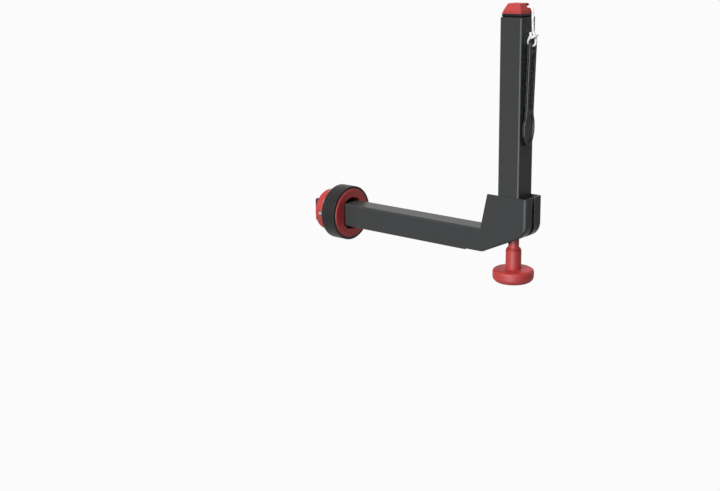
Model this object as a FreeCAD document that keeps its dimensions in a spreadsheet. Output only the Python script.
"""Table tennis net clamp: a pivoting arm with a bracket, a net post and its cord tensioner.

Millimetres. The origin is the centre of the pivot ring's front face, on the axis of the arm.
+X runs outward along the arm, +Z is up, and the net lies in the plane Y = 0.
"""
import FreeCAD, Part
import math
import os
import Sketcher

Vector = FreeCAD.Vector

# Driving sizes

SIZES = {
    # Pivot at the edge of the table
    "ring_wall": 2.35,
    "ring_length": 16.0,
    "ring_shoulder": 3.5,
    "bush_radius": 24.0,
    "bush_barrel_radius": 20.0,
    "bush_stand_out": 0.8,
    "bush_edge": 1.0,
    "bush_tail": 14.0,
    "running_gap": 0.05,
    "end_play": 0.3,
    "press_gap": 0.02,
    "arm_hole_gap": 0.8,
    "clip_thickness": 1.2,
    "clip_slot_depth": 3.0,
    "clip_stand_out": 2.4,
    "clip_bridge": 3.0,
    "clip_outer_cut": 10.4,
    "clip_inner_cut": 8.2,
    "cross_pin_radius": 2.0,
    "cross_pin_back": 8.0,
    # Arm
    "arm_height": 22.2,
    "arm_wall": 1.8,
    "arm_corner": 2.0,
    "arm_tail": 6.0,
    "mitre_angle": 39.7,
    "arm_lap": 5.5,
    "plug_flange": 2.5,
    "plug_spigot": 7.0,
    "plug_gap": 0.1,
    # Bracket
    "shell_wall": 1.8,
    "bracket_top": 43.6,
    "bracket_back": 20.2,
    "bracket_front": 19.6,
    "vertex_back": 25.0,
    "slant_angle": 12.5,
    "rise_angle": 24.6,
    "underside_step": 2.0,
    "corner_radius": 13.5,
    "fold_radius": 2.0,
    "seam_gap": 3.8,
    "guide_gap": 0.2,
    "guide_inset": 1.0,
    "inner_guide_top": 36.0,
    "outer_guide_top": 34.0,
    "outer_guide_foot": 20.0,
    "thrust_plate_height": 10.0,
    "thrust_plate_thickness": 3.0,
    "thrust_plate_back": 19.7,
    "thrust_plate_front": 11.3,
    "thrust_pad_width": 16.0,
    "thrust_pad_thickness": 0.8,
    # Height adjuster
    "screw_radius": 4.0,
    "screw_top": 48.0,
    "screw_grip": 28.0,
    "collar_radius": 7.0,
    "collar_thickness": 3.0,
    "neck_radius": 4.75,
    "neck_length": 13.4,
    "neck_hole_gap": 0.8,
    "hub_radius": 6.9,
    "hub_length": 19.1,
    "hub_edge": 1.2,
    "disc_radius": 18.25,
    "disc_height": 11.6,
    "disc_edge": 3.5,
    "thread_gap": 0.05,
    # Post
    "post_reach": 189.7,
    "post_width": 21.2,
    "post_gap": 0.2,
    "post_wall": 1.5,
    "post_corner": 1.2,
    "post_foot": 25.0,
    "post_top": 195.2,
    "slot_width": 3.2,
    "slot_above_bracket": 8.0,
    "insert_gap": 0.1,
    "insert_flange": 2.0,
    "insert_flange_inset": 0.5,
    "insert_spigot": 20.0,
    "insert_bore_gap": 0.3,
    "nut_across_flats": 13.0,
    "nut_height": 6.5,
    # Cap and cord guide
    "seat_spigot": 12.0,
    "cap_base": 19.0,
    "cap_top": 12.0,
    "cap_rim": 1.0,
    "cap_rise": 7.3,
    "cap_wall": 1.5,
    "cap_edge": 0.5,
    "seat_collar": 2.9,
    "cord_radius": 1.05,
    "cord_hole_gap": 0.5,
    "cord_exit_rise": 7.7,
    "cord_exit_side": 1.6,
    # Tension strap and its peg
    "eye_drop": 22.6,
    "eye_stand_off": 4.45,
    "strap_lean": 1.76,
    "strap_half_width": 5.25,
    "strap_thickness": 2.1,
    "strap_rim": 1.7,
    "strap_recess": 0.8,
    "eye_half_width": 2.3,
    "eye_half_length": 3.5,
    "spoon_below_eye": 70.3,
    "spoon_half_length": 15.0,
    "spoon_half_width": 7.9,
    "spoon_rim": 2.0,
    "spoon_end_rim": 3.0,
    "spoon_blend": 22.0,
    "ladder_start": 10.0,
    "ladder_pitch": 4.5,
    "ladder_holes": 10,
    "ladder_hole_radius": 1.7,
    "peg_hole": 5,
    "peg_radius": 1.4,
    "peg_tip_length": 0.6,
    "peg_collar_radius": 2.7,
    "peg_shank_radius": 2.0,
    "strap_gap": 0.3,
}

doc = FreeCAD.newDocument("net_clamp")
sheet = doc.addObject("Spreadsheet::Sheet", "Sizes")
for row, (alias, number) in enumerate(SIZES.items(), start=1):
    sheet.set(f"A{row}", alias)
    sheet.set(f"B{row}", str(number))
    sheet.setAlias(f"B{row}", alias)
doc.recompute()


class Size:
    """A value together with the sheet expression that gives it."""

    def __init__(self, value, text):
        self.value = float(value)
        self.text = text

    def __add__(self, other):
        other = as_size(other)
        return Size(self.value + other.value, f"({self.text} + {other.text})")

    def __sub__(self, other):
        other = as_size(other)
        return Size(self.value - other.value, f"({self.text} - {other.text})")

    def __mul__(self, other):
        other = as_size(other)
        return Size(self.value * other.value, f"({self.text} * {other.text})")

    def __truediv__(self, other):
        other = as_size(other)
        return Size(self.value / other.value, f"({self.text} / {other.text})")

    def __neg__(self):
        return Size(-self.value, f"(0 - {self.text})")


def as_size(number):
    """A Size, also from a plain number."""
    if isinstance(number, Size):
        return number
    return Size(number, f"({number!r})")


def size(alias):
    """The named cell of the sheet."""
    return Size(sheet.get(alias), f"Sizes.{alias}")


def tangent(angle):
    """The tangent of an angle in degrees."""
    return Size(math.tan(math.radians(angle.value)), f"tan({angle.text} * 1 deg)")


def hypotenuse(across, along):
    """The long side over two short ones."""
    value = math.hypot(across.value, along.value)
    return Size(value, f"sqrt({across.text} * {across.text} + {along.text} * {along.text})")


ZERO = as_size(0)

# Places that several pieces share

post_x = size("post_reach")
post_half = size("post_width") / 2
bore_half = post_half - size("post_wall")
shell_inner = post_half + size("post_gap")
shell_outer = shell_inner + size("shell_wall")
arm_half = shell_inner
arm_top = size("arm_height") / 2
top = size("bracket_top")
slant = tangent(size("slant_angle"))
rise = tangent(size("rise_angle"))
mitre = tangent(size("mitre_angle"))
slant_top_x = post_x - size("bracket_back")
slant_foot_x = slant_top_x - (top - arm_top) * slant
mitre_foot_x = slant_foot_x - size("arm_height") * mitre
lap_x = slant_foot_x + size("arm_lap")
underside = -(arm_top - size("underside_step"))
vertex_x = post_x - size("vertex_back")
bracket_end = post_x + size("bracket_front")
corner_z = underside + (bracket_end - vertex_x) * rise
ring_back = -size("ring_length")
shoulder_face = ring_back + size("ring_shoulder")
bush_end = ring_back - size("bush_tail")
arm_start = bush_end - size("arm_tail")
cross_pin_x = ring_back - size("cross_pin_back")
clip_front = ring_back - size("running_gap") * 2
clip_back = clip_front - size("clip_thickness")
clip_slot_side = size("bush_barrel_radius") - size("clip_slot_depth")
plate_foot = size("thrust_plate_height")
plate_top = plate_foot + size("thrust_plate_thickness")
pad_top = plate_top + size("thrust_pad_thickness")
neck_top = plate_foot - size("end_play")
hub_top = neck_top - size("neck_length")
disc_top = hub_top - size("hub_length")
knob_foot = disc_top - size("disc_height")
post_face_x = post_x + post_half
eye_x = post_face_x + size("eye_stand_off")
eye_z = size("post_top") - size("eye_drop")
peg_drop = size("ladder_start") + size("ladder_pitch") * size("peg_hole")
strap_half = size("strap_thickness") / 2


# Ways of making a piece

def new_body(label):
    """An empty body, whose label names the piece."""
    body = doc.addObject("PartDesign::Body", label)
    body.Label = label
    return body


def place(body, x=ZERO, z=ZERO):
    """Move a whole body along X and Z."""
    body.setExpression(".Placement.Base.x", x.text)
    body.setExpression(".Placement.Base.z", z.text)


def new_sketch(body, role, name, offset=ZERO):
    """A sketch on one of the body's own origin planes, moved along the plane's normal."""
    plane = next(item for item in body.Origin.OriginFeatures if item.Role == role)
    sketch = body.newObject("Sketcher::SketchObject", name)
    sketch.AttachmentSupport = [(plane, "")]
    sketch.MapMode = "FlatFace"
    sketch.AttachmentOffset = FreeCAD.Placement(Vector(0, 0, offset.value), FreeCAD.Rotation())
    sketch.setExpression(".AttachmentOffset.Base.z", offset.text)
    return sketch


def bind_point(sketch, geometry, end, point, name):
    """Hold one point of a sketch by its two distances from the origin."""
    for axis, coordinate in zip("XY", point):
        rule = Sketcher.Constraint(f"Distance{axis}", -1, 1, geometry, end, coordinate.value)
        index = sketch.addConstraint(rule)
        sketch.renameConstraint(index, f"{name}{axis}")
        sketch.setExpression(f"Constraints.{name}{axis}", coordinate.text)


def outline(body, role, name, points, offset=ZERO):
    """A closed outline of straight lines."""
    points = [(as_size(x), as_size(y)) for x, y in points]
    sketch = new_sketch(body, role, name, offset)
    count = len(points)
    for index, (x, y) in enumerate(points):
        after_x, after_y = points[(index + 1) % count]
        start = Vector(x.value, y.value, 0)
        end = Vector(after_x.value, after_y.value, 0)
        sketch.addGeometry(Part.LineSegment(start, end), False)
    for index in range(count):
        sketch.addConstraint(Sketcher.Constraint("Coincident", index, 2, (index + 1) % count, 1))
    for index, point in enumerate(points):
        bind_point(sketch, index, 1, point, f"p{index}")
    return sketch


def rectangle(body, role, name, low, high, offset=ZERO):
    """A rectangle between two opposite corners."""
    corners = [low, (high[0], low[1]), high, (low[0], high[1])]
    return outline(body, role, name, corners, offset)


def circle(body, role, name, centre, radius, offset=ZERO):
    """A circle held by its centre and radius."""
    centre = (as_size(centre[0]), as_size(centre[1]))
    sketch = new_sketch(body, role, name, offset)
    middle = Vector(centre[0].value, centre[1].value, 0)
    sketch.addGeometry(Part.Circle(middle, Vector(0, 0, 1), radius.value), False)
    bind_point(sketch, 0, 3, centre, "centre")
    index = sketch.addConstraint(Sketcher.Constraint("Radius", 0, radius.value))
    sketch.renameConstraint(index, "radius")
    sketch.setExpression("Constraints.radius", radius.text)
    return sketch


def feature(body, kind, name, sketch):
    """A feature of the body that works on a sketch."""
    made = body.newObject(kind, name)
    made.Profile = sketch
    return made


def pad(body, name, sketch, length, midplane=False, reverse=False):
    """Raise a sketch along its normal."""
    made = feature(body, "PartDesign::Pad", name, sketch)
    made.setExpression("Length", length.text)
    made.Midplane = midplane
    made.Reversed = reverse
    doc.recompute()
    return made


def pocket(body, name, sketch, length, midplane=False, reverse=False):
    """Cut a sketch into the body, against its normal."""
    before = body.Shape.Volume
    made = feature(body, "PartDesign::Pocket", name, sketch)
    made.setExpression("Length", length.text)
    made.Midplane = midplane
    made.Reversed = reverse
    doc.recompute()
    if not body.Shape.Volume < before:
        raise ValueError(f"{body.Label}: {name} cuts nothing")
    return made


def revolve(body, name, sketch, axis):
    """Turn a sketch once round one of its own axes."""
    made = feature(body, "PartDesign::Revolution", name, sketch)
    made.ReferenceAxis = (sketch, [axis])
    made.Angle = 360
    doc.recompute()
    return made


def edges_where(base, test):
    """Names of the edges whose every sampled point passes the test."""
    names = []
    for index, edge in enumerate(base.Shape.Edges, start=1):
        first, last = edge.ParameterRange
        points = [edge.valueAt(first + (last - first) * share) for share in (0, 0.5, 1)]
        if all(test(point) for point in points):
            names.append(f"Edge{index}")
    if not names:
        raise ValueError(f"{base.Name}: no such edge")
    return names


def fillet(body, name, test, radius):
    """Round the edges of the body's last feature that pass the test."""
    base = body.Tip
    made = body.newObject("PartDesign::Fillet", name)
    made.Base = (base, edges_where(base, test))
    made.setExpression("Radius", radius.text)
    doc.recompute()
    return made


def chamfer(body, name, test, width):
    """Bevel the edges of the body's last feature that pass the test."""
    base = body.Tip
    made = body.newObject("PartDesign::Chamfer", name)
    made.Base = (base, edges_where(base, test))
    made.setExpression("Size", width.text)
    doc.recompute()
    return made


def near(number, target):
    """True where two numbers are equal but for rounding."""
    return abs(number - target.value) < 1e-4


def fillet_parallel(body, name, axis, radius):
    """Round every straight edge that runs along one axis."""
    base = body.Tip
    names = []
    for index, edge in enumerate(base.Shape.Edges, start=1):
        if not isinstance(edge.Curve, Part.Line):
            continue
        direction = edge.Curve.Direction
        if abs(direction.dot(axis)) > 0.9999:
            names.append(f"Edge{index}")
    made = body.newObject("PartDesign::Fillet", name)
    made.Base = (base, names)
    made.setExpression("Radius", radius.text)
    doc.recompute()
    return made


X_AXIS = Vector(1, 0, 0)
Y_AXIS = Vector(0, 1, 0)
Z_AXIS = Vector(0, 0, 1)
# A cut through both sides of a piece is this many of its half widths long
CUT_THROUGH = 3


# Pivot at the edge of the table

def make_pivot_ring():
    """The fixed ring that sits in the table's frame, with a shoulder at its back."""
    body = new_body("pivot_ring")
    bore = size("bush_radius") + size("running_gap")
    outer = bore + size("ring_wall")
    throat = size("bush_barrel_radius") + size("running_gap")
    profile = outline(body, "XZ_Plane", "ring_profile", [
        (ring_back, throat),
        (ring_back, outer),
        (ZERO, outer),
        (ZERO, bore),
        (shoulder_face, bore),
        (shoulder_face, throat),
    ])
    revolve(body, "ring_turning", profile, "H_Axis")
    return body


def make_table_bush():
    """The round bush: a head in the ring, a barrel behind it and a hole with two flats."""
    body = new_body("table_bush")
    head = size("bush_radius")
    barrel = size("bush_barrel_radius")
    front = size("bush_stand_out")
    edge = size("bush_edge")
    head_back = shoulder_face + size("running_gap") * 2
    profile = outline(body, "XZ_Plane", "bush_profile", [
        (bush_end, ZERO),
        (bush_end, barrel),
        (head_back, barrel),
        (head_back, head),
        (front - edge, head),
        (front, head - edge),
        (front, ZERO),
    ])
    revolve(body, "bush_turning", profile, "H_Axis")
    hole_radius = arm_hole_radius()
    flat = arm_half + size("arm_hole_gap")
    half_chord = hypotenuse_leg(hole_radius, flat)
    sketch = new_sketch(body, "YZ_Plane", "arm_hole", bush_end)
    corners = [(-flat, -half_chord), (-flat, half_chord), (flat, half_chord), (flat, -half_chord)]
    angle = math.atan2(half_chord.value, flat.value)
    round_top = Part.Circle(Vector(0, 0, 0), Vector(0, 0, 1), hole_radius.value)
    left = [Vector(x.value, y.value, 0) for x, y in corners[:2]]
    right = [Vector(x.value, y.value, 0) for x, y in corners[2:]]
    sketch.addGeometry(Part.LineSegment(*left), False)
    sketch.addGeometry(Part.LineSegment(*right), False)
    sketch.addGeometry(Part.ArcOfCircle(round_top, angle, math.pi - angle), False)
    sketch.addGeometry(Part.ArcOfCircle(round_top, math.pi + angle, 2 * math.pi - angle), False)
    for first, first_end, second, second_end in ((0, 2, 2, 2), (1, 1, 2, 1), (0, 1, 3, 1), (1, 2, 3, 2)):
        sketch.addConstraint(Sketcher.Constraint("Coincident", first, first_end, second, second_end))
    for arc in (2, 3):
        sketch.addConstraint(Sketcher.Constraint("Coincident", arc, 3, -1, 1))
    for index, (line, end) in enumerate(((0, 1), (0, 2), (1, 1), (1, 2))):
        across = corners[index][0]
        rule = sketch.addConstraint(Sketcher.Constraint("DistanceX", -1, 1, line, end, across.value))
        sketch.renameConstraint(rule, f"corner{index}")
        sketch.setExpression(f"Constraints.corner{index}", across.text)
    for arc in (2, 3):
        rule = sketch.addConstraint(Sketcher.Constraint("Radius", arc, hole_radius.value))
        sketch.renameConstraint(rule, f"radius{arc}")
        sketch.setExpression(f"Constraints.radius{arc}", hole_radius.text)
    pocket(body, "arm_hole_cut", sketch, front - bush_end, reverse=True)
    pin = circle(body, "XZ_Plane", "pin_hole", (cross_pin_x, ZERO),
                 size("cross_pin_radius") + size("press_gap"))
    pocket(body, "pin_hole_cut", pin, barrel * CUT_THROUGH, midplane=True)
    for side in (-1, 1):
        slot = rectangle(body, "YZ_Plane", f"clip_slot_{side + 1}", (clip_slot_side * side, -barrel),
                         (barrel * 2 * side, barrel), clip_back)
        pocket(body, f"clip_slot_cut_{side + 1}", slot, size("clip_thickness"), reverse=True)
    return body


def arm_hole_radius():
    """Radius that clears the rounded corners of the arm."""
    corner = size("arm_corner")
    return hypotenuse(arm_half - corner, arm_top - corner) + corner + size("arm_hole_gap")


def hypotenuse_leg(long_side, leg):
    """The other short side under a long one."""
    value = math.sqrt(long_side.value ** 2 - leg.value ** 2)
    return Size(value, f"sqrt({long_side.text} * {long_side.text} - {leg.text} * {leg.text})")


def make_bush_clip():
    """The fork plate in the bush's two slots, which holds the bush behind the pivot ring."""
    body = new_body("bush_clip")
    barrel = size("bush_barrel_radius")
    inner = clip_slot_side + size("running_gap")
    outer = barrel + size("clip_stand_out")
    under_bridge = barrel + size("running_gap") * 2
    over_bridge = under_bridge + size("clip_bridge")
    outer_cut = size("clip_outer_cut")
    inner_cut = size("clip_inner_cut")
    low = -barrel / 2
    fork = outline(body, "YZ_Plane", "clip_outline", [
        (-outer, low),
        (-inner, low),
        (-inner, under_bridge - inner_cut),
        (inner_cut - inner, under_bridge),
        (inner - inner_cut, under_bridge),
        (inner, under_bridge - inner_cut),
        (inner, low),
        (outer, low),
        (outer, over_bridge - outer_cut),
        (outer - outer_cut, over_bridge),
        (outer_cut - outer, over_bridge),
        (-outer, over_bridge - outer_cut),
    ], clip_back + size("running_gap") / 2)
    pad(body, "clip_plate", fork, size("clip_thickness") - size("running_gap"))
    return body


def make_bush_pin():
    """The cross pin that fixes the bush on the arm."""
    body = new_body("bush_pin")
    half_length = hypotenuse_leg(size("bush_barrel_radius"), size("cross_pin_radius"))
    disc = circle(body, "XZ_Plane", "pin_outline", (cross_pin_x, ZERO), size("cross_pin_radius"))
    pad(body, "pin_bar", disc, half_length * 2, midplane=True)
    return body


# Arm

def make_arm_tube():
    """The square tube of the arm, cut slantwise where the bracket takes it between its plates."""
    body = new_body("arm_tube")
    length = lap_x - arm_start
    section = rectangle(body, "YZ_Plane", "arm_section", (-arm_half, -arm_top), (arm_half, arm_top),
                        arm_start)
    pad(body, "arm_bar", section, length)
    fillet_parallel(body, "arm_corners", X_AXIS, size("arm_corner"))
    wall = size("arm_wall")
    bore = rectangle(body, "YZ_Plane", "arm_bore", (wall - arm_half, wall - arm_top),
                     (arm_half - wall, arm_top - wall), arm_start)
    pocket(body, "arm_bore_cut", bore, length, reverse=True)
    beyond = lap_x + size("arm_height")
    wedge = outline(body, "XZ_Plane", "slant_wedge", [
        (lap_x, arm_top),
        (mitre_foot_x, -arm_top),
        (beyond, -arm_top),
        (beyond, arm_top),
    ])
    pocket(body, "slant_cut", wedge, arm_half * CUT_THROUGH, midplane=True)
    pin = circle(body, "XZ_Plane", "arm_pin_hole", (cross_pin_x, ZERO),
                 size("cross_pin_radius") + size("press_gap"))
    pocket(body, "arm_pin_hole_cut", pin, arm_half * CUT_THROUGH, midplane=True)
    return body


def make_arm_end_plug():
    """The plug that closes the arm's inner end."""
    body = new_body("arm_end_plug")
    wall = size("arm_wall")
    flange = rectangle(body, "YZ_Plane", "plug_flange_outline", (-arm_half, -arm_top), (arm_half, arm_top),
                       arm_start - size("plug_flange"))
    pad(body, "plug_flange_plate", flange, size("plug_flange"))
    fillet_parallel(body, "plug_corners", X_AXIS, size("arm_corner"))
    inset = wall + size("plug_gap")
    spigot = rectangle(body, "YZ_Plane", "plug_spigot_outline", (inset - arm_half, inset - arm_top),
                       (arm_half - inset, arm_top - inset), arm_start)
    pad(body, "plug_spigot_block", spigot, size("plug_spigot"))
    return body


# Bracket

def make_bracket_shell(label, side):
    """One pressed half of the bracket: a side plate with a lip round its outer end and underside."""
    body = new_body(label)
    mitre_x = slant_foot_x - (arm_top - underside) * mitre
    start = shell_outer * -side
    plate = outline(body, "XZ_Plane", f"{label}_outline", [
        (slant_top_x, top),
        (slant_foot_x, arm_top),
        (mitre_x, underside),
        (vertex_x, underside),
        (bracket_end, corner_z),
        (bracket_end, top),
    ], start)
    depth = shell_outer - size("seam_gap") / 2
    pad(body, f"{label}_block", plate, depth, reverse=side < 0)
    fillet(body, f"{label}_corner", lambda point: near(point.x, bracket_end) and near(point.z, corner_z),
           size("corner_radius"))
    seam_y = size("seam_gap") / 2 * side
    open_faces = []
    for index, face in enumerate(body.Tip.Shape.Faces, start=1):
        centre = face.CenterOfMass
        flat = isinstance(face.Surface, Part.Plane)
        faces_the_arm = flat and face.normalAt(0, 0).x < -0.5
        if near(centre.y, seam_y) or near(centre.z, top) or faces_the_arm:
            open_faces.append(f"Face{index}")
    hollow = body.newObject("PartDesign::Thickness", f"{label}_hollow")
    hollow.Base = (body.Group[-2], open_faces)
    hollow.setExpression("Value", "Sizes.shell_wall")
    hollow.Mode = 0
    hollow.Join = 1
    hollow.Reversed = True
    doc.recompute()
    outer_y = shell_outer * side

    def on_fold(point):
        run_in = point.x > vertex_x.value - 1e-3 and point.z < top.value + 1e-3
        slope = underside.value + (point.x - vertex_x.value) * rise.value
        on_slope = point.z < slope + size("corner_radius").value
        return near(point.y, outer_y) and run_in and (near(point.x, bracket_end) or on_slope)

    fillet(body, f"{label}_fold", on_fold, size("fold_radius"))
    beside = mitre_foot_x - size("arm_height")
    arm_room = outline(body, "XZ_Plane", f"{label}_arm_room", [
        (lap_x, arm_top),
        (mitre_foot_x, -arm_top),
        (beside, -arm_top),
        (beside, arm_top),
    ])
    pocket(body, f"{label}_arm_cut", arm_room, shell_inner * 2, midplane=True)
    notch = circle(body, "XY_Plane", f"{label}_neck_hole", (post_x, ZERO),
                   size("neck_radius") + size("neck_hole_gap"), plate_foot)
    pocket(body, f"{label}_neck_cut", notch, plate_foot - underside)
    return body


def make_thrust_plate():
    """The cross plate that carries the adjusting screw between the two shells."""
    body = new_body("thrust_plate")
    plate = rectangle(body, "XY_Plane", "thrust_plate_outline",
                      (post_x - size("thrust_plate_back"), -shell_inner),
                      (post_x + size("thrust_plate_front"), shell_inner), plate_foot)
    pad(body, "thrust_plate_block", plate, size("thrust_plate_thickness"))
    hole = circle(body, "XY_Plane", "screw_hole", (post_x, ZERO),
                  size("screw_radius") + size("running_gap"), plate_foot)
    pocket(body, "screw_hole_cut", hole, size("thrust_plate_thickness"), reverse=True)
    return body


def make_thrust_pad():
    """The slippery square pad between the thrust plate and the screw's collar."""
    body = new_body("thrust_pad")
    half = size("thrust_pad_width") / 2
    square = rectangle(body, "XY_Plane", "pad_outline", (post_x - half, -half), (post_x + half, half),
                       plate_top)
    pad(body, "pad_plate", square, size("thrust_pad_thickness"))
    hole = circle(body, "XY_Plane", "pad_hole", (post_x, ZERO),
                  size("screw_radius") + size("running_gap"), plate_top)
    pocket(body, "pad_hole_cut", hole, size("thrust_pad_thickness"), reverse=True)
    return body


def make_inner_guide():
    """The guide block on the table's side of the post."""
    body = new_body("inner_guide_block")
    face = post_x - post_half - size("guide_gap")
    high = size("inner_guide_top")
    low = plate_top + size("guide_inset")
    high_x = slant_top_x - (top - high) * slant + size("guide_inset")
    low_x = slant_top_x - (top - low) * slant + size("guide_inset")
    block = outline(body, "XZ_Plane", "inner_guide_outline",
                    [(low_x, low), (face, low), (face, high), (high_x, high)])
    pad(body, "inner_guide_solid", block, shell_inner * 2, midplane=True)
    return body


def make_outer_guide():
    """The guide block on the outer side of the post."""
    body = new_body("outer_guide_block")
    block = rectangle(body, "XZ_Plane", "outer_guide_outline",
                      (post_face_x + size("guide_gap"), size("outer_guide_foot")),
                      (bracket_end - size("shell_wall"), size("outer_guide_top")))
    pad(body, "outer_guide_solid", block, shell_inner * 2 - size("fold_radius"), midplane=True)
    return body


# Height adjuster

def make_adjuster_screw():
    """The steel screw with the collar that rests on the thrust pad."""
    body = new_body("adjuster_screw")
    place(body, post_x)
    radius = size("screw_radius")
    collar_foot = pad_top + size("running_gap") * 2
    collar_top = collar_foot + size("collar_thickness")
    screw_foot = neck_top - size("screw_grip")
    profile = outline(body, "XZ_Plane", "screw_profile", [
        (ZERO, screw_foot),
        (radius, screw_foot),
        (radius, collar_foot),
        (size("collar_radius"), collar_foot),
        (size("collar_radius"), collar_top),
        (radius, collar_top),
        (radius, size("screw_top")),
        (ZERO, size("screw_top")),
    ])
    revolve(body, "screw_turning", profile, "V_Axis")
    return body


def rounded_edge(middle_radius, middle_height, radius, start, steps=2):
    """Points of a quarter round edge of a turned profile, from one angle in degrees on by 90."""
    points = []
    for step in range(steps + 1):
        angle = math.radians(start + 90 * step / steps)
        points.append((middle_radius + radius * round(math.cos(angle), 6),
                       middle_height + radius * round(math.sin(angle), 6)))
    return points


def make_adjuster_knob():
    """The knob: a thin neck, a hub and a flat hand disc with rounded edges."""
    body = new_body("adjuster_knob")
    place(body, post_x)
    bore = size("screw_radius") + size("press_gap")
    screw_foot = neck_top - size("screw_grip")
    edge = size("disc_edge")
    edge_middle = size("disc_radius") - edge
    hub_edge = size("hub_edge")
    profile = outline(body, "XZ_Plane", "knob_profile", [
        (bore, screw_foot),
        (ZERO, screw_foot),
        (ZERO, knob_foot),
        *rounded_edge(edge_middle, knob_foot + edge, edge, -90),
        *rounded_edge(edge_middle, disc_top - edge, edge, 0),
        (size("hub_radius"), disc_top),
        (size("hub_radius"), hub_top - hub_edge),
        (size("hub_radius") - hub_edge, hub_top),
        (size("neck_radius"), hub_top),
        (size("neck_radius"), neck_top),
        (bore, neck_top),
    ])
    revolve(body, "knob_turning", profile, "V_Axis")
    return body


# Post

def make_post_tube():
    """The square tube of the post, slotted on the side that faces the net."""
    body = new_body("post_tube")
    place(body, post_x)
    foot = size("post_foot")
    length = size("post_top") - foot
    section = rectangle(body, "XY_Plane", "post_section", (-post_half, -post_half), (post_half, post_half),
                        foot)
    pad(body, "post_bar", section, length)
    fillet_parallel(body, "post_corners", Z_AXIS, size("post_corner"))
    bore = rectangle(body, "XY_Plane", "post_bore", (-bore_half, -bore_half), (bore_half, bore_half), foot)
    pocket(body, "post_bore_cut", bore, length, reverse=True)
    slot_half = size("slot_width") / 2
    slot_foot = top + size("slot_above_bracket")
    slot = rectangle(body, "YZ_Plane", "net_slot", (-slot_half, slot_foot), (slot_half, size("post_top")),
                     -post_half)
    pocket(body, "net_slot_cut", slot, size("post_wall"), reverse=True)
    peg = circle(body, "YZ_Plane", "peg_hole_outline", (ZERO, peg_height()),
                 size("peg_shank_radius") + size("press_gap"), bore_half)
    pocket(body, "peg_hole_cut", peg, size("post_wall"), reverse=True)
    return body


def peg_height():
    """Height of the peg, in line with the hole of the strap that it holds."""
    lean = math.cos(math.radians(size("strap_lean").value))
    return eye_z - peg_drop * Size(lean, "cos(Sizes.strap_lean * 1 deg)")


def make_foot_insert():
    """The plug in the post's foot that holds the nut."""
    body = new_body("foot_insert")
    place(body, post_x)
    foot = size("post_foot")
    low = foot - size("insert_flange")
    half = post_half - size("insert_flange_inset")
    flange = rectangle(body, "XY_Plane", "insert_flange_outline", (-half, -half), (half, half), low)
    pad(body, "insert_flange_plate", flange, size("insert_flange"))
    inner = bore_half - size("insert_gap")
    spigot = rectangle(body, "XY_Plane", "insert_spigot_outline", (-inner, -inner), (inner, inner), foot)
    pad(body, "insert_spigot_block", spigot, size("insert_spigot"))
    bore = circle(body, "XY_Plane", "insert_bore", (0, 0),
                  size("screw_radius") + size("insert_bore_gap"), low)
    pocket(body, "insert_bore_cut", bore, size("insert_flange") + size("insert_spigot"), reverse=True)
    nest = outline(body, "XY_Plane", "nut_nest",
                   hexagon(size("nut_across_flats") + size("press_gap") * 2), low)
    pocket(body, "nut_nest_cut", nest, size("nut_height"), reverse=True)
    return body


def hexagon(across_flats):
    """Corners of a hexagon by its width across the flats."""
    half = across_flats / 2
    corner = half * Size(2 / math.sqrt(3), "(2 / sqrt(3))")
    side = corner / 2
    return [(corner, ZERO), (side, half), (-side, half), (-corner, ZERO), (-side, -half), (side, -half)]


def make_foot_nut():
    """The nut that climbs the adjusting screw."""
    body = new_body("foot_nut")
    place(body, post_x)
    low = size("post_foot") - size("insert_flange")
    block = outline(body, "XY_Plane", "nut_outline", hexagon(size("nut_across_flats")), low)
    pad(body, "nut_block", block, size("nut_height"))
    bore = circle(body, "XY_Plane", "nut_bore", (0, 0), size("screw_radius") + size("thread_gap"), low)
    pocket(body, "nut_bore_cut", bore, size("nut_height"), reverse=True)
    return body


# Cap and cord guide

def make_cap_seat():
    """The plug in the post's top, with a collar under the cap and a channel for the cord."""
    body = new_body("cap_seat")
    place(body, post_x)
    high = size("post_top")
    inner = bore_half - size("insert_gap")
    spigot = rectangle(body, "XY_Plane", "seat_spigot_outline", (-inner, -inner), (inner, inner),
                       high - size("seat_spigot"))
    pad(body, "seat_spigot_block", spigot, size("seat_spigot"))
    half = size("cap_base") / 2
    collar = rectangle(body, "XY_Plane", "seat_collar_outline", (-half, -half), (half, half), high)
    pad(body, "seat_collar_plate", collar, size("seat_collar"))
    channel_half = size("cord_radius") + size("cord_hole_gap")
    channel_floor = high + size("cord_hole_gap")
    channel = rectangle(body, "XZ_Plane", "cord_channel", (-half, channel_floor),
                        (ZERO, high + size("seat_collar")))
    pocket(body, "cord_channel_cut", channel, channel_half * 2, midplane=True)
    return body


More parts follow.
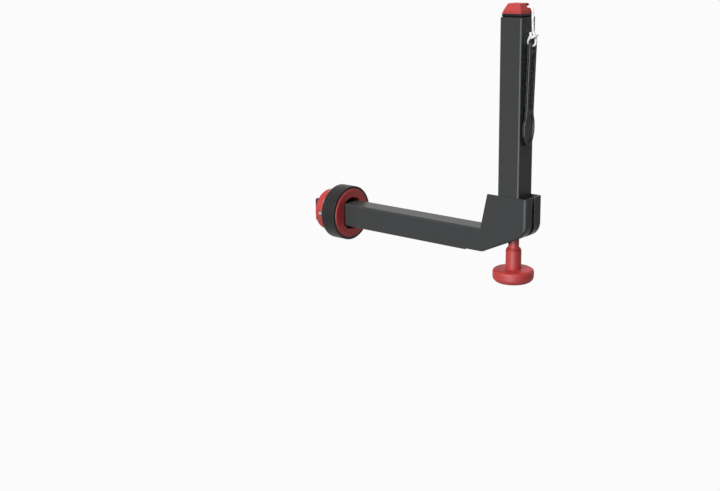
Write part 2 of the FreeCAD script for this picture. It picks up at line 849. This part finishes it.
def make_post_cap():
    """The hollow pyramid cap, open to the net for the headline and pierced outside for the cord."""
    body = new_body("post_cap")
    place(body, post_x)
    low = size("post_top") + size("seat_collar")
    half = size("cap_base") / 2
    crown_half = size("cap_top") / 2
    shoulder = low + size("cap_rim")
    crown = shoulder + size("cap_rise")
    rim = rectangle(body, "XY_Plane", "cap_rim_outline", (-half, -half), (half, half), low)
    pad(body, "cap_rim_plate", rim, size("cap_rim"))
    foot = rectangle(body, "XY_Plane", "cap_foot_outline", (-half, -half), (half, half), shoulder)
    pyramid = pad(body, "cap_pyramid", foot, size("cap_rise"))
    pyramid.setExpression("TaperAngle", f"-atan(({(half - crown_half).text}) / {size('cap_rise').text})")
    doc.recompute()
    under = [f"Face{index}" for index, face in enumerate(body.Tip.Shape.Faces, start=1)
             if near(face.CenterOfMass.z, low)]
    hollow = body.newObject("PartDesign::Thickness", "cap_hollow")
    hollow.Base = (body.Group[-2], under)
    hollow.setExpression("Value", "Sizes.cap_wall")
    hollow.Mode = 0
    hollow.Join = 1
    hollow.Reversed = True
    doc.recompute()
    chamfer(body, "cap_crown_edges", lambda point: near(point.z, crown), size("cap_edge"))
    channel_half = size("cord_radius") + size("cord_hole_gap")
    mouth = rectangle(body, "YZ_Plane", "headline_mouth", (-channel_half, low),
                      (channel_half, low + channel_half), -half)
    pocket(body, "headline_mouth_cut", mouth, half, reverse=True)
    exit_height = size("post_top") + size("cord_exit_rise")
    hole = circle(body, "YZ_Plane", "cord_exit", (size("cord_exit_side"), exit_height), channel_half)
    pocket(body, "cord_exit_cut", hole, half, reverse=True)
    return body


# Tension strap, peg and cord

def make_strap_peg():
    """The riveted peg that holds the strap by one of its holes."""
    body = new_body("strap_peg")
    place(body, post_face_x, peg_height())
    wall = size("post_wall")
    lean = tangent(size("strap_lean"))
    strap_back = size("eye_stand_off") - peg_drop * lean - strap_half
    collar_end = strap_back - size("strap_gap")
    tip = strap_back + size("strap_thickness") - size("strap_recess") + size("peg_tip_length")
    profile = outline(body, "XZ_Plane", "peg_profile", [
        (-wall, ZERO),
        (-wall, size("peg_shank_radius")),
        (ZERO, size("peg_shank_radius")),
        (ZERO, size("peg_collar_radius")),
        (collar_end, size("peg_collar_radius")),
        (collar_end, size("peg_radius")),
        (tip, size("peg_radius")),
        (tip, ZERO),
    ])
    revolve(body, "peg_turning", profile, "H_Axis")
    return body


def ellipse(body, role, name, centre_y, half_width, half_length, offset):
    """An upright ellipse on the strap's plane."""
    sketch = new_sketch(body, role, name, offset)
    centre = Vector(0, centre_y.value, 0)
    long_end = centre + Vector(0, half_length.value, 0)
    side_end = centre + Vector(half_width.value, 0, 0)
    sketch.addGeometry(Part.Ellipse(long_end, side_end, centre), False)
    sketch.exposeInternalGeometry(0)
    bind_point(sketch, 0, 3, (ZERO, centre_y), "centre")
    major = sketch.addConstraint(Sketcher.Constraint("Distance", 1, 2 * half_length.value))
    sketch.renameConstraint(major, "major")
    sketch.setExpression("Constraints.major", (half_length * 2).text)
    minor = sketch.addConstraint(Sketcher.Constraint("Distance", 2, 2 * half_width.value))
    sketch.renameConstraint(minor, "minor")
    sketch.setExpression("Constraints.minor", (half_width * 2).text)
    sketch.addConstraint(Sketcher.Constraint("Vertical", 1))
    return sketch


def slot_outline(body, role, name, half_width, low, high, offset):
    """An upright slot with round ends, whose end centres lie at two heights."""
    sketch = new_sketch(body, role, name, offset)
    radius = half_width.value
    left = [Vector(-radius, low.value, 0), Vector(-radius, high.value, 0)]
    right = [Vector(radius, high.value, 0), Vector(radius, low.value, 0)]
    upper = Part.Circle(Vector(0, high.value, 0), Vector(0, 0, 1), radius)
    lower = Part.Circle(Vector(0, low.value, 0), Vector(0, 0, 1), radius)
    sketch.addGeometry(Part.LineSegment(*left), False)
    sketch.addGeometry(Part.LineSegment(*right), False)
    sketch.addGeometry(Part.ArcOfCircle(upper, 0, math.pi), False)
    sketch.addGeometry(Part.ArcOfCircle(lower, math.pi, 2 * math.pi), False)
    for first, first_end, second, second_end in ((0, 2, 2, 2), (1, 1, 2, 1), (0, 1, 3, 1), (1, 2, 3, 2)):
        sketch.addConstraint(Sketcher.Constraint("Tangent", first, first_end, second, second_end))
    bind_point(sketch, 2, 3, (ZERO, high), "upper")
    bind_point(sketch, 3, 3, (ZERO, low), "lower")
    sketch.addConstraint(Sketcher.Constraint("Equal", 2, 3))
    index = sketch.addConstraint(Sketcher.Constraint("Radius", 2, radius))
    sketch.renameConstraint(index, "radius")
    sketch.setExpression("Constraints.radius", half_width.text)
    return sketch


def make_tension_strap():
    """The ladder strap: an eye at the top, a row of holes in a channel and a spoon to pull."""
    body = new_body("tension_strap")
    body.Placement = FreeCAD.Placement(Vector(0, 0, 0), FreeCAD.Rotation(Y_AXIS, 1))
    body.setExpression(".Placement.Base.x", eye_x.text)
    body.setExpression(".Placement.Base.z", eye_z.text)
    body.setExpression(".Placement.Rotation.Angle", "Sizes.strap_lean * 1 deg")
    back = -strap_half
    front = strap_half
    half = size("strap_half_width")
    spoon_z = -size("spoon_below_eye")
    band = slot_outline(body, "YZ_Plane", "band_outline", half, spoon_z, ZERO, back)
    pad(body, "band", band, size("strap_thickness"))
    spoon = ellipse(body, "YZ_Plane", "spoon_outline", spoon_z, size("spoon_half_width"),
                    size("spoon_half_length"), back)
    pad(body, "spoon", spoon, size("strap_thickness"))

    def at_waist(point):
        return abs(abs(point.y) - half.value) < 0.01 and point.z > spoon_z.value + 1

    waist = []
    for index, edge in enumerate(body.Tip.Shape.Edges, start=1):
        ends = [edge.valueAt(end) for end in edge.ParameterRange]
        across = abs(ends[0].y - ends[1].y) < 1e-4 and abs(ends[0].z - ends[1].z) < 1e-4
        below_neck = ends[0].z < spoon_z.value + size("spoon_half_length").value
        if across and at_waist(ends[0]) and below_neck:
            waist.append(f"Edge{index}")
    blend = body.newObject("PartDesign::Fillet", "spoon_blend")
    blend.Base = (body.Group[-2], waist)
    blend.setExpression("Radius", "Sizes.spoon_blend")
    doc.recompute()
    channel_half = half - size("strap_rim")
    ladder_low = -size("ladder_start") - size("ladder_pitch") * (size("ladder_holes") - 1)
    channel = slot_outline(body, "YZ_Plane", "channel_outline", channel_half, ladder_low,
                           -size("ladder_start"), front)
    pocket(body, "channel", channel, size("strap_recess"))
    dish = ellipse(body, "YZ_Plane", "dish_outline", spoon_z, size("spoon_half_width") - size("spoon_rim"),
                   size("spoon_half_length") - size("spoon_end_rim"), front)
    pocket(body, "dish", dish, size("strap_recess"))
    eye_round = size("eye_half_width")
    reach = size("eye_half_length") - eye_round
    eye = slot_outline(body, "YZ_Plane", "eye_outline", eye_round, -reach, reach, front)
    pocket(body, "eye", eye, size("strap_thickness"))
    rung = circle(body, "YZ_Plane", "rung_hole", (ZERO, -size("ladder_start")),
                  size("ladder_hole_radius"), front)
    first = pocket(body, "rung", rung, size("strap_thickness"))
    pattern = body.newObject("PartDesign::LinearPattern", "rungs")
    pattern.Originals = [first]
    pattern.Direction = (rung, ["V_Axis"])
    pattern.Reversed = True
    pattern.setExpression("Length", (size("ladder_pitch") * (size("ladder_holes") - 1)).text)
    pattern.setExpression("Occurrences", "Sizes.ladder_holes")
    body.Tip = pattern
    doc.recompute()
    return body


# The cord's route, chosen point by point: X from the post's axis, Y, and Z from the post's top.
# It leaves the channel in the seat, comes out of the cap and hangs down the post's outer face.
CORD_FROM_CAP = [
    (-9.2, 0.0, 2.8),
    (-4.0, 0.4, 4.1),
    (2.2, 1.2, 6.4),
    (8.2, 1.7, 7.9),
    (11.7, 1.6, 6.4),
    (13.6, 1.0, 3.5),
    (14.5, 0.5, -0.5),
    (14.9, 0.2, -6.0),
]
# The knot through the strap's eye, each point from the middle of the eye.
CORD_KNOT = [
    (0.1, 0.2, 11.6),
    (0.9, 0.3, 8.5),
    (2.7, 0.5, 5.7),
    (3.1, 0.4, 2.8),
    (2.5, 0.3, 0.4),
    (0.2, -0.1, -1.0),
    (-2.6, -1.2, -0.2),
    (-3.0, -4.5, 1.6),
    (-0.7, -7.4, 3.6),
    (0.7, -6.4, 6.6),
    (0.1, -4.1, 8.9),
    (-1.9, -1.1, 9.6),
    (-1.8, 1.9, 9.0),
    (1.0, 3.4, 8.4),
    (4.1, 1.7, 8.0),
    (4.6, -1.3, 7.5),
    (2.3, -3.4, 6.9),
    (0.4, -3.2, 6.0),
]
CORD_SIDES = 6
ARC_SHARE = 0.45


def cord_path(points):
    """Straight runs joined by tangent arcs, each as large as its two runs allow."""
    edges = []
    radii = []
    previous = points[0]
    for before, corner, after in zip(points, points[1:], points[2:]):
        inward = (corner - before)
        onward = (after - corner)
        shorter = min(inward.Length, onward.Length)
        inward.normalize()
        onward.normalize()
        half_turn = inward.getAngle(onward) / 2
        trim = ARC_SHARE * shorter
        radius = trim / math.tan(half_turn)
        radii.append(radius)
        start = corner - inward * trim
        end = corner + onward * trim
        bisector = (onward - inward)
        bisector.normalize()
        centre_distance = radius / math.cos(half_turn)
        middle = corner + bisector * (centre_distance - radius)
        edges.append(Part.LineSegment(previous, start).toShape())
        edges.append(Part.Arc(start, middle, end).toShape())
        previous = end
    edges.append(Part.LineSegment(previous, points[-1]).toShape())
    return Part.Wire(edges), radii


def make_tension_cord():
    """The cord from the cap to the strap, swept along its route."""
    radius = size("cord_radius").value
    top_of_post = Vector(post_x.value, 0, size("post_top").value)
    middle_of_eye = Vector(eye_x.value, 0, eye_z.value)
    points = [top_of_post + Vector(*point) for point in CORD_FROM_CAP]
    points += [middle_of_eye + Vector(*point) for point in CORD_KNOT]
    path, radii = cord_path(points)
    direction = (points[1] - points[0]).normalize()
    side = direction.cross(Y_AXIS).normalize()
    turns = [FreeCAD.Rotation(direction, 360 * step / CORD_SIDES) for step in range(CORD_SIDES + 1)]
    start = Part.makePolygon([points[0] + turn.multVec(side * radius) for turn in turns])
    tube = path.makePipeShell([start], True, False, 2)
    if tube.Volume < 0:
        tube.reverse()
    cord = doc.addObject("Part::Feature", "tension_cord")
    cord.Label = "tension_cord"
    cord.Shape = tube
    section = CORD_SIDES / 2 * radius ** 2 * math.sin(2 * math.pi / CORD_SIDES)
    expected = section * path.Length
    print("cord length", round(path.Length, 1), "volume share", round(tube.Volume / expected, 4))
    print("cord radii", " ".join(f"{value:.1f}" for value in radii))
    return cord


def make_pieces():
    """Every separate piece of the clamp."""
    return [
        make_pivot_ring(),
        make_table_bush(),
        make_bush_clip(),
        make_bush_pin(),
        make_arm_tube(),
        make_arm_end_plug(),
        make_bracket_shell("front_bracket_shell", -1),
        make_bracket_shell("rear_bracket_shell", 1),
        make_thrust_plate(),
        make_thrust_pad(),
        make_inner_guide(),
        make_outer_guide(),
        make_adjuster_screw(),
        make_adjuster_knob(),
        make_post_tube(),
        make_foot_insert(),
        make_foot_nut(),
        make_cap_seat(),
        make_post_cap(),
        make_strap_peg(),
        make_tension_strap(),
        make_tension_cord(),
    ]


def check(pieces):
    """Stop on a feature that failed or a piece whose shape isn't one valid solid."""
    for item in doc.Objects:
        if "Invalid" in item.State or "Error" in item.State:
            raise ValueError(f"{item.Label} failed: {item.State}")
    for piece in pieces:
        shape = piece.Shape
        if shape.isNull() or not shape.isValid() or len(shape.Solids) != 1:
            raise ValueError(f"{piece.Label}: shape is not one valid solid")


pieces = make_pieces()
doc.recompute()
check(pieces)
os.makedirs("parts", exist_ok=True)
for piece in pieces:
    piece.Shape.exportStep(f"parts/{piece.Label}.step")
    box = piece.Shape.BoundBox
    print(f"{piece.Label:22s} {piece.Shape.Volume:10.1f}  X {box.XMin:7.2f} {box.XMax:7.2f}"
          f"  Y {box.YMin:7.2f} {box.YMax:7.2f}  Z {box.ZMin:7.2f} {box.ZMax:7.2f}")
